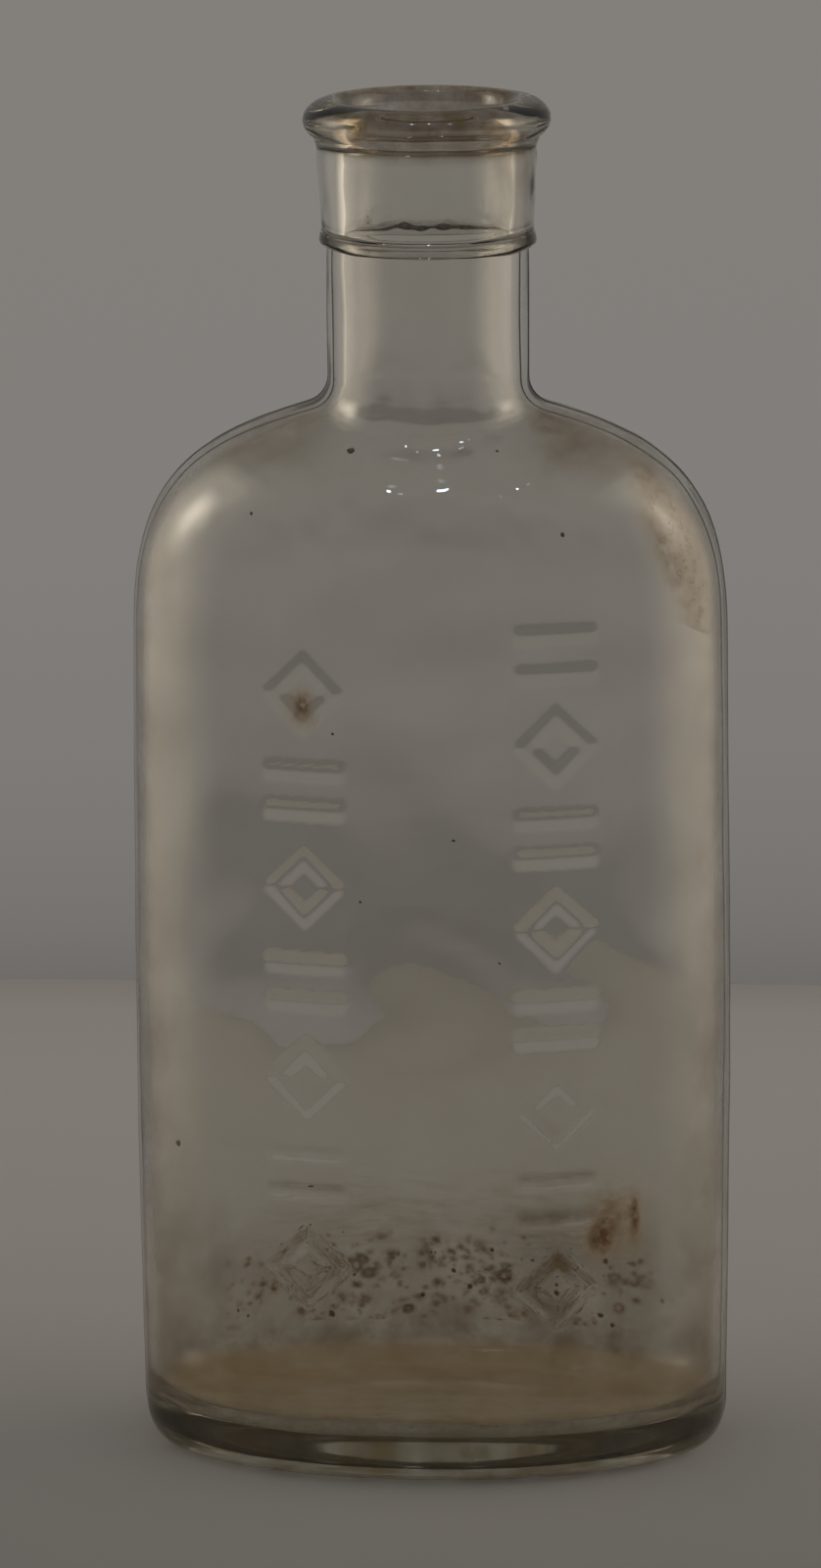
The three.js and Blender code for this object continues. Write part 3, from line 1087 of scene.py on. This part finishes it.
@dataclass
class AppliedFinish:
    """The collar and lip: a string of glass wound on hot and shaped by a lipping tool."""

    form: BlownForm
    name: str = "applied_lip"
    foot: float = 132.8
    foot_rim: tuple[float, float] = (11.6, 133.6)
    collar_low: tuple[float, float] = (11.35, 135.0)
    collar_high: tuple[float, float] = (11.8, 143.3)
    crest: float = 10.2
    half_height: float = 2.2
    gap: float = 0.02

    def profile(self) -> Profile:
        """Runs from the foot up the outside, over the lip and down the bore.

        Returns:
            The closed cross-section.
        """
        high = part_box("applied_finish")[1]
        top, reach = high.z / MM, high.x / MM
        centre = top - self.half_height
        lap, cut = self.form.neck + self.gap, self.form.neck_end + self.gap
        bore = self.form.bore
        outer = np.radians(even(-50, 90, 7))
        inner = np.radians(even(90, 180, 10, (False, True)))
        lip_out, lip_in = (
            np.stack((self.crest + wide * np.cos(turn), centre + self.half_height * np.sin(turn)), 1)
            for wide, turn in ((reach - self.crest, outer), (self.crest - bore, inner))
        )
        rim_r, rim_z = self.foot_rim
        rim = [
            (lap, self.foot + 0.1), (lap + 0.1, self.foot), (rim_r - 0.25, self.foot + 0.12),
            (rim_r - 0.05, rim_z - 0.35), (rim_r, rim_z), (rim_r - 0.08, rim_z + 0.4), self.collar_low,
        ]
        collar = np.linspace((self.collar_low[0] + 0.02, self.collar_low[1] + 0.7), self.collar_high, 11)
        down = np.stack((np.full(11, bore), np.linspace(centre - 0.8, cut + 0.7, 11)), 1)
        end = [
            (bore, cut + 0.35), (bore + 0.06, cut + 0.1), (bore + 0.25, cut), (lap - 0.4, cut), (lap, cut - 0.2),
        ]
        return np.concatenate((rim, collar, lip_out, lip_in, down, end))

    def build(self) -> bpy.types.Object:
        """Makes the ring of glass, turned by hand and so never quite true.

        Returns:
            The collar and lip.
        """
        rows = self.profile()
        angles = np.radians(np.arange(0, 360, 1.5))
        grid = ring_grid(rows, rows, angles)
        z, cut, crown = grid[..., 2], self.form.neck_end, self.collar_high[1]
        radius = np.hypot(grid[..., 0], grid[..., 1])
        outside = smooth(11.0, 11.3, radius)
        lift = outside * (0.06 * waves(grid, 14, 21) + 0.03 * waves(grid, 5, 22))
        lift -= outside * 0.16 * np.exp(-(((z - crown - 0.3 * waves(grid, 9, 23)) / 0.35) ** 2))
        inside = (1 - smooth(9.0, 9.4, radius)) * smooth(cut + 0.5, cut + 1.5, z)
        lift += inside * 0.05 * waves(grid, 12, 24)
        grid += outward(grid) * lift[..., None]
        low = 1 - smooth(self.foot + 1.6, self.foot + 3, z)
        grid[..., 2] += outside * low * 0.12 * waves(grid, 7, 25)
        fold = (1 - smooth(9.05, 9.3, radius)) * (1 - smooth(cut + 0.4, cut + 0.8, z))
        ragged = 0.3 + 0.22 * waves(grid, 4.5, 26) + 0.1 * waves(grid, 1.6, 27)
        grid[..., 2] += fold * ragged * smooth(1.5, 5, grid[..., 1])
        maker = MeshMaker()
        maker.add_loft(grid, loop=True)
        made = maker.make(self.name)
        foot_dirt = 0.1 * np.exp(-(((z - self.foot) / 1.5) ** 2))
        lip_top = 0.5 * smooth(crown + 2.6, crown + 4.4, z) * smooth(8.95, 9.6, radius)
        lip_top += 0.75 * smooth(crown - 1, crown + 1, z)
        right_side = 0.5 * smooth(6, 11, grid[..., 0]) * (z < crown + 1) * outside
        # Painted shade: the grime amount rises along the fold at the back of the bore.
        fold_painted_shade = fold * smooth(1.5, 5, grid[..., 1])
        set_amount(made, "grime_and_shade", np.clip(foot_dirt + lip_top + right_side + fold_painted_shade, 0, 1))
        return made


@dataclass
class Film:
    """A thin dried film on the inside of the glass, thick where shade says."""

    name: str
    outer: Grid
    inner: Grid
    shade: Callable[[np.ndarray], np.ndarray]

    def build(self) -> bpy.types.Object:
        """Makes the film as a closed slab.

        Returns:
            The film.
        """
        maker = MeshMaker()
        maker.add_slab(self.outer, self.inner)
        made = maker.make(self.name)
        points = np.concatenate((self.outer.reshape(-1, 3), self.inner.reshape(-1, 3)))
        set_amount(made, "amount", np.clip(self.shade(points), 0, 1))
        return made


@dataclass
class FloorSediment:
    """The thickest of the residue: a brown film over the floor that creeps up its corner."""

    form: BlownForm
    name: str = "floor_sediment"
    gap: float = 0.04
    thick: float = 0.12

    def build(self) -> bpy.types.Object:
        """Makes the film as a closed shell over the floor and its corner.

        Returns:
            The film.
        """
        f = self.form
        angles = np.radians(np.arange(0, 360, 2.5))
        rings = joined(f.floor(even(0.08, 0.96, 0.08)), f.corner(even(0, 1.15, 0.12)))
        glass_side = ring_grid(*rings, angles)
        up = -outward(glass_side)
        shift = f.uneven(glass_side)[..., None]
        low = glass_side + up * (shift + self.gap)
        thick = self.thick * (1 + 0.5 * waves(glass_side, 6, 31))[..., None]
        high = glass_side + up * (shift + self.gap + thick)
        grid = np.concatenate((low, high[::-1]))
        middle = f.floor_height + f.floor_crown
        maker = MeshMaker()
        maker.add_loft(grid, poles=((0, 0, middle + self.gap), (0, 0, middle + self.gap + self.thick)))
        made = maker.make(self.name)
        points = np.concatenate((grid.reshape(-1, 3), [(0, 0, middle), (0, 0, middle)]))
        back = smooth(-4, 11, points[:, 1])
        edge = smooth(0.55, 0.95, np.hypot(points[:, 0] / f.inner_width, points[:, 1] / f.inner_depth))
        fade = 1 - smooth(f.floor_height + 1.4, f.floor_height + 2.6, points[:, 2])
        set_amount(made, "amount", (0.55 + 0.25 * back + 0.3 * edge) * fade)
        return made


@dataclass
class Crumbs:
    """Loose and stuck grains of scale on the inside of the glass."""

    form: BlownForm
    name: str = "scale_crumbs"
    seed: int = 41
    count: int = 45
    clusters: tuple[tuple[float, float], ...] = (
        (-17, 10), (-9, 13), (-3, 11), (2, 14), (8, 11), (13, 15), (18, 10), (-14, 17), (5, 17), (19, 16),
    )
    strays: tuple[tuple[float, float, float], ...] = (
        (-6.9, 113.1, 0.42), (14.7, 104.0, 0.27), (-17.9, 105.6, 0.2), (6.8, 113.0, 0.17), (3.3, 72.0, 0.18),
        (-6.5, 64.5, 0.14), (8.0, 58.0, 0.14), (-27.0, 35.9, 0.4), (-9.4, 82.7, 0.2),
    )  # x, z and half-width of single grains on the front

    def grain(
        self, maker: MeshMaker, place: np.ndarray, out: np.ndarray, size: float, rng: np.random.Generator,
    ) -> None:
        """Adds one rough flattened grain.

        Args:
            maker: The mesh that takes it.
            place: Where it touches the glass.
            out: Unit vector away from the glass.
            size: Its half-width, in millimetres.
            rng: Source of its unevenness.
        """
        ball = np.array([(math.cos(a) * math.cos(e), math.sin(a) * math.cos(e), math.sin(e))
                         for e in (-0.9, 0.0, 0.9) for a in np.arange(6) * math.pi / 3 + e])
        ball *= rng.uniform(0.7, 1.25, (len(ball), 1)) * size * (1, 1, 0.45)
        poles = np.array(((0, 0, -0.45), (0, 0, 0.45))) * size
        across = np.cross(out, (0, 0, 1.0))
        across /= np.linalg.norm(across)
        axes = np.stack((across, np.cross(out, across), out))
        middle = place + out * size * 0.62
        grid = (ball @ axes + middle).reshape(3, 6, 3)
        maker.add_loft(grid, poles=tuple(map(tuple, poles @ axes + middle)))

    def build(self) -> bpy.types.Object:
        """Scatters grains in clusters over the foot of the back wall, and sets single ones elsewhere.

        Returns:
            The grains, as one object.
        """
        rng = np.random.default_rng(self.seed)
        maker = MeshMaker()
        for _ in range(self.count):
            x, z = self.clusters[rng.integers(len(self.clusters))] + rng.normal(size=2) * (3.4, 2.6)
            size = 0.1 + 0.3 * rng.random() ** 3
            if z > 9.3 and abs(x) < 25:
                self.grain(maker, *self.form.spot(x, z, True), size, rng)
        for x, z, size in self.strays:
            self.grain(maker, *self.form.spot(x, z, False), size, rng)
        return maker.make(self.name)


# ---------------------------------------------------------------- studio


@dataclass
class Studio:
    """A pale table and backdrop between two large, soft, warm lights."""

    table_back: float = 0.211
    table_half: float = 0.1
    clearance: float = 0.0001  # the glass stands on a few high points
    box_size: tuple[float, float] = (1.7, 1.7)
    box_fade: tuple[float, float] = (0.78, 0.22)  # how wide the soft edges are
    glow_size: tuple[float, float] = (0.6, 0.8)
    glow_fade: tuple[float, float] = (0.3, 0.38)
    box_away: float = 1.05
    box_behind: float = 0.2
    box_strength: float = 1.25
    box_colour: str = "fff1dc"
    lamp_colour: str = "dfe8ff"
    lamp_aim: tuple[float, float, float] = (0, 0, 0.08)
    room: tuple[tuple[float, str], ...] = (
        (-1.0, "6e6b68"), (-0.25, "6e6b68"), (-0.24, "787471"), (-0.222, "7d7a77"), (-0.19, "827e7b"),
        (-0.14, "83807c"), (1.0, "7c7976"),
    )  # sine of the elevation, and the tone of the even backdrop there

    def build(self) -> None:
        """Makes the stage, the lights and the camera."""
        scene = bpy.context.scene
        scene.view_settings.view_transform = "Standard"
        table = self.sheet("table", ((-self.table_half, -0.3), (self.table_half, self.table_back)), 0.04)
        table.location.z = -self.clearance
        # Painted shade: the paper darkens towards the front and again at its back edge.
        painted_shade_tones = ((-0.3, "8f8e8d"), (-0.05, "a09f9e"), (0.01, "b0afae"), (0.05, "bfbebc"), (0.14, "c8c7c5"),
                 (0.185, "c4c2c0"), (0.198, "b8b6b3"), (self.table_back, "aaa8a5"))
        table.data.materials.append(StageSheet("table_paper_painted_shade", "Y", painted_shade_tones).build())
        for name, side, share in (("left_softbox", -1, 0.87), ("right_softbox", 1, 1.0)):
            middle = (side * self.box_away, self.box_behind, 0.53)
            self.softbox(name, middle, share * self.box_strength, self.box_size, self.box_fade)
        for name, side, strength in (("left_high_glow", -1, 4.8), ("right_high_glow", 1, 3.2)):
            glow = self.softbox(name, (side * 0.95, 0.1, 0.48), strength, self.glow_size, self.glow_fade)
            glow.visible_diffuse = False
        self.light("top_lamp", (0.05, -0.5, 1.5), 0.05, 0.35)
        self.light("second_top_lamp", (-0.2, -0.55, 1.35), 0.04, 0.25)
        self.light("third_top_lamp", (0.38, -0.5, 1.3), 0.04, 0.2)
        scene.world = self.backdrop()
        self.camera(scene)

    def backdrop(self) -> bpy.types.World:
        """Makes the even grey backdrop, all round, shaded a little by height.

        Returns:
            The world.
        """
        world = bpy.data.worlds.new("backdrop")
        world.use_nodes = True
        tree = world.node_tree
        way = add_node(tree, "TexCoord").outputs["Generated"]
        up = add_node(tree, "SeparateXYZ", {0: way}).outputs["Z"]
        share = add_node(tree, "MapRange", {"Value": up, "From Min": -1.0, "From Max": 1.0}).outputs[0]
        ramp = add_node(tree, "ValToRGB", {"Fac": share})
        colour = set_ramp(ramp, [((place + 1) / 2, tone) for place, tone in self.room])
        tree.links.new(colour, tree.nodes["Background"].inputs["Color"])
        return world

    def softbox(
        self, name: str, middle: tuple[float, float, float], strength: float, size: tuple[float, float],
        fade: tuple[float, float],
    ) -> bpy.types.Object:
        """Hangs one lit cloth beside the bottle.

        Args:
            name: Its name.
            middle: Its middle, in metres.
            strength: How bright it is.
            size: Its width and height, in metres.
            fade: How wide its soft edges are.

        Returns:
            The cloth.
        """
        wide, tall = size
        mesh = bpy.data.meshes.new(name)
        rim = [(x * wide / 2, y * tall / 2, 0) for x, y in ((-1, -1), (1, -1), (1, 1), (-1, 1))]
        mesh.from_pydata(rim, [], [(0, 1, 2, 3)])
        made = new_object(name, mesh)
        facing = (Vector(middle) - Vector((0, middle[1], middle[2]))).to_track_quat("Z", "Y")
        made.matrix_world = Matrix.Translation(middle) @ facing.to_matrix().to_4x4()
        mesh.materials.append(SoftboxCloth(name + "_cloth", self.box_colour, strength, size, fade).build())
        made.visible_camera = False
        return made

    def sheet(self, name: str, corners: tuple, thick: float) -> bpy.types.Object:
        """Makes a flat slab with softly rounded edges, its top at no height.

        Args:
            name: Its name.
            corners: Its lowest and highest x and y, in metres.
            thick: Thickness.

        Returns:
            The slab.
        """
        (x0, y0), (x1, y1) = corners
        mesh = bpy.data.meshes.new(name)
        rim = ((x0, y0), (x1, y0), (x1, y1), (x0, y1))
        points = [(x, y, z) for z in (-thick, 0) for x, y in rim]
        faces = [(3, 2, 1, 0), (4, 5, 6, 7)] + [(i, (i + 1) % 4, 4 + (i + 1) % 4, 4 + i) for i in range(4)]
        mesh.from_pydata(points, [], faces)
        made = new_object(name, mesh)
        bevel = made.modifiers.new("rounding", "BEVEL")
        bevel.width, bevel.segments = thick * 0.3, 6
        return made

    def light(self, name: str, place: tuple[float, float, float], size: float, power: float) -> None:
        """Adds one small lamp overhead that the camera doesn't see, for glints on the shoulders.

        Args:
            name: Its name.
            place: Its middle, in metres.
            size: Its width and height, in metres.
            power: In watts.
        """
        data = bpy.data.lights.new(name, "AREA")
        data.shape, data.size, data.size_y = "RECTANGLE", size, size
        data.energy, data.color = power, linear(self.lamp_colour)[:3]
        lamp = new_object(name, data)
        facing = (Vector(place) - Vector(self.lamp_aim)).to_track_quat("Z", "Y")
        lamp.matrix_world = Matrix.Translation(place) @ facing.to_matrix().to_4x4()
        lamp.visible_camera = False

    def camera(self, scene: bpy.types.Scene) -> None:
        """Adds the camera: a long lens, slightly to the right and looking down on the bottle.

        Args:
            scene: The scene that it serves.
        """
        distance, height, aside = 0.76684, 0.24997, -0.00224
        azimuth, pitch, roll = (math.radians(a) for a in (3.324, 12.928, -0.403))
        data = bpy.data.cameras.new("camera")
        data.lens = 167.0
        data.clip_start, data.clip_end = 0.05, 20
        made = new_object("camera", data)
        right = Vector((math.cos(azimuth), math.sin(azimuth), 0))
        ahead = Vector((-math.sin(azimuth), math.cos(azimuth), 0))
        place = -distance * ahead + aside * right + Vector((0, 0, height))
        turn = Matrix.Rotation(azimuth, 4, "Z") @ Matrix.Rotation(math.pi / 2 - pitch, 4, "X")
        made.matrix_world = Matrix.Translation(place) @ turn @ Matrix.Rotation(roll, 4, "Z")
        scene.camera = made


# ---------------------------------------------------------------- assembly


def place(made: bpy.types.Object, material: bpy.types.Material, slot: Slot, *nodes: str) -> None:
    """Dresses a piece, sets it on the bottle's body and hides the frame's parts that it replaces.

    Args:
        made: The piece.
        material: Its finish.
        slot: The record's material slot; not used.
        nodes: The frame's nodes that it replaces.
    """
    made.data.materials.append(material)
    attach(made, "root")
    if nodes:
        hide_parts(*nodes)
    LOG.info("%s: %d faces", made.name, len(made.data.polygons))


def around(x: float, z: float, wide: float, tall: float) -> Callable[[np.ndarray], np.ndarray]:
    """A soft oval patch.

    Args:
        x: Its middle along X.
        z: Its middle along Z.
        wide: Half-width.
        tall: Half-height.

    Returns:
        A function from points to amounts.
    """
    return lambda points: np.exp(-(((points[:, 0] - x) / wide) ** 2) - ((points[:, 2] - z) / tall) ** 2)


def blots(points: np.ndarray) -> np.ndarray:
    """Spots and rings of scale where drops dried, in clusters over the foot of the back wall.

    Args:
        points: Places on the glass, in millimetres.

    Returns:
        Amounts from 0 to 1.
    """
    rng = np.random.default_rng(7)
    total = np.zeros(len(points))
    middles = rng.uniform((-22, 9.0), (21, 16.5), (26, 2))
    for _ in range(360):
        x, z = middles[rng.integers(len(middles))] + rng.normal(size=2) * (2.6, 1.5)
        wide = 0.16 + 0.5 * rng.random() ** 2
        far = np.hypot((points[:, 0] - x) / wide, (points[:, 2] - z) / (wide * rng.uniform(0.5, 1)))
        hollow = 0.9 * (rng.random() < 0.12)
        total = np.maximum(total, rng.uniform(0.3, 0.95) * np.exp(-((far - hollow) ** 2) * (1 + 2 * hollow)))
    return total * (1 - smooth(19, 24, points[:, 2])) * (1 - smooth(21, 25, np.abs(points[:, 0])))


def wall_film(
    form: BlownForm, name: str, angles: np.ndarray, heights: np.ndarray, offsets: tuple[float, float],
    shade: Callable[[np.ndarray], np.ndarray],
) -> bpy.types.Object:
    """Makes a film on the inside of the straight wall.

    Args:
        form: The glass that it lies on.
        name: Its name.
        angles: Angles that it covers, in degrees.
        heights: Heights that it covers, in millimetres.
        offsets: How far its two faces are from the glass.
        shade: Gives the amount of film at points.

    Returns:
        The film.
    """
    return Film(name, *(form.inside_wall(angles, heights, offset) for offset in offsets), shade).build()


def add_scale(form: BlownForm) -> None:
    """Adds the spotted scale on the foot of the back wall, and the tide lines over it.

    Args:
        form: The glass that it lies on.
    """
    scale = DriedDeposit("lime_scale_stained", "a08256", "64492a", (0.8, 0.8, 0.6), bare=0.3, full=0.55)
    angles = even(38, 146, 0.45)
    spotted = wall_film(form, "wall_scale_film", angles, even(9.0, 25, 0.24), (0.05, 0.11), blots)
    place(spotted, scale.build(), Slot.SCALE, "wall_scale")

    def tides(points: np.ndarray) -> np.ndarray:
        """Shades the lines, which fade out all round.

        Args:
            points: Places on the film, in millimetres.

        Returns:
            Amounts from 0 to 1.
        """
        x, _, z = points.T
        return smooth(15, 18, z) * (1 - smooth(22, 28, z)) * smooth(-26, -8, x) * (1 - smooth(15, 24, x))

    streaks = DriedDeposit(
        "tide_line_scale", "9a8766", "6b5a3e", (4.5, 4.5, 0.8), cover=0.2, bare=0.46, full=0.72,
    )
    lines = wall_film(form, "tide_lines", angles, even(14, 29, 0.4), (0.14, 0.18), tides)
    place(lines, streaks.build(), Slot.SCALE)


def add_shoulder_film(form: BlownForm) -> None:
    """Adds the brown film that ran down inside the right shoulder.

    Args:
        form: The glass that it lies on.
    """
    edge_heights, edge_x = (89, 95.5, 104, 113), (28, 26.5, 22.8, 20)

    def runs(points: np.ndarray) -> np.ndarray:
        """Shades the film, which ends at a slanting edge and fades out towards the side seam.

        Args:
            points: Places on the film, in millimetres.

        Returns:
            Amounts from 0 to 1.
        """
        x, y, z = points.T
        past_edge = smooth(-1.0, 1.6, x - np.interp(z, edge_heights, edge_x))
        return past_edge * (1 - smooth(112, 115, z)) * smooth(1.5, 6, -y)

    stain = DriedDeposit(
        "syrup_film_dried", "a08c6e", "7d6649", (1.3, 1.3, 1.3), cover=0.9, bare=0.25, full=0.68,
    )
    angles, shares = even(300, 356, 1.0), even(0, 0.85, 0.04)
    faces = (form.inside_shoulder(angles, shares, offset) for offset in (0.05, 0.1))
    place(Film("shoulder_syrup_film", *faces, runs).build(), stain.build(), Slot.SCALE, "shoulder_film")


def add_rust(form: BlownForm) -> None:
    """Adds the two rust stains on the front wall: a spot with a halo, and a patch of several lobes.

    Args:
        form: The glass that they lie on.
    """
    rust = DriedDeposit("iron_rust_stain", "b8954a", "80501e", (0.9, 0.9, 0.9), bare=0.2, full=0.62)
    spot = ((1.0, around(-12.6, 85.7, 0.75, 1.15)), (0.3, around(-12.6, 85.7, 1.6, 2.0)))
    patch = (
        (1.0, around(18.4, 27.0, 1.2, 1.7)), (0.35, around(19.4, 29.6, 1.6, 1.9)),
        (1.0, around(21.9, 28.9, 0.45, 2.2)), (0.22, around(20.2, 28.5, 3.2, 4.2)),
    )
    for name, node, angles, heights, lobes in (
        ("rust_spot", "rust_stain_upper", even(239, 249, 0.5), even(82, 89.4, 0.35), spot),
        ("rust_patch", "rust_stain_lower", even(298, 328, 0.6), even(21, 36, 0.35), patch),
    ):
        film = wall_film(
            form, name, angles, heights, (0.05, 0.1),
            lambda points: sum(share * lobe(points) for share, lobe in lobes),
        )
        place(film, rust.build(), Slot.RUST, node)


def fold_painted_shade(form: BlownForm) -> bpy.types.Object:
    """Makes painted shade: a dark, ragged line inside the bore, where the lip's glass folds over the neck's cut
    end.

    Args:
        form: The glass that it lies on.

    Returns:
        The line of dirt.
    """
    outer, inner = form.bore - 0.05, form.bore - 0.11
    angles = np.radians(even(40, 140, 1.0))
    line = ring_grid(*level(outer, outer, form.neck_end + even(-0.25, 0.25, 0.25)), angles)
    taper = np.sin(np.linspace(0, math.pi, len(angles))) ** 0.5
    line[..., 2] = form.neck_end + (line[..., 2] - form.neck_end) * taper * (1 + 0.5 * waves(line, 1.8, 51))
    line[..., 2] += 0.12 * waves(line[1:2], 5, 52)
    thin = line * (inner / outer, inner / outer, 1)
    return Film("bore_fold_painted_shade", line, thin, lambda points: np.ones(len(points))).build()


def main() -> None:
    """Builds and dresses the bottle, what dried inside it, and the studio, and notes the sizes."""
    logging.basicConfig(level=logging.INFO, format="%(name)s: %(message)s")
    form = BlownForm()
    place(BlownBody(form, RaisedMarks()).build(), BottleGlass().build(), Slot.BLOWN, "bottle_body")
    lip_glass = BottleGlass(name="soda_lime_glass_tooled", polish=0.006, skin_mm=4.5, skin_height_mm=0.02)
    place(AppliedFinish(form).build(), lip_glass.build(), Slot.APPLIED, "applied_finish")
    sediment = DriedDeposit(
        "medicine_sediment_dried", "c4b08e", "94805c", (9, 9, 4), cover=0.42, bare=0.1, full=0.75,
    )
    place(FloorSediment(form).build(), sediment.build(), Slot.SEDIMENT, "floor_residue")
    add_scale(form)
    add_shoulder_film(form)
    add_rust(form)
    # A dark grey line of painted shade along the lip's fold.
    place(fold_painted_shade(form), Crumb(name="fold_painted_shade", pale="6a655b", dark="3d3a35").build(), Slot.SCALE)
    place(Crumbs(form).build(), Crumb().build(), Slot.SCALE)
    Studio().build()


if __name__ == "__main__":
    main()
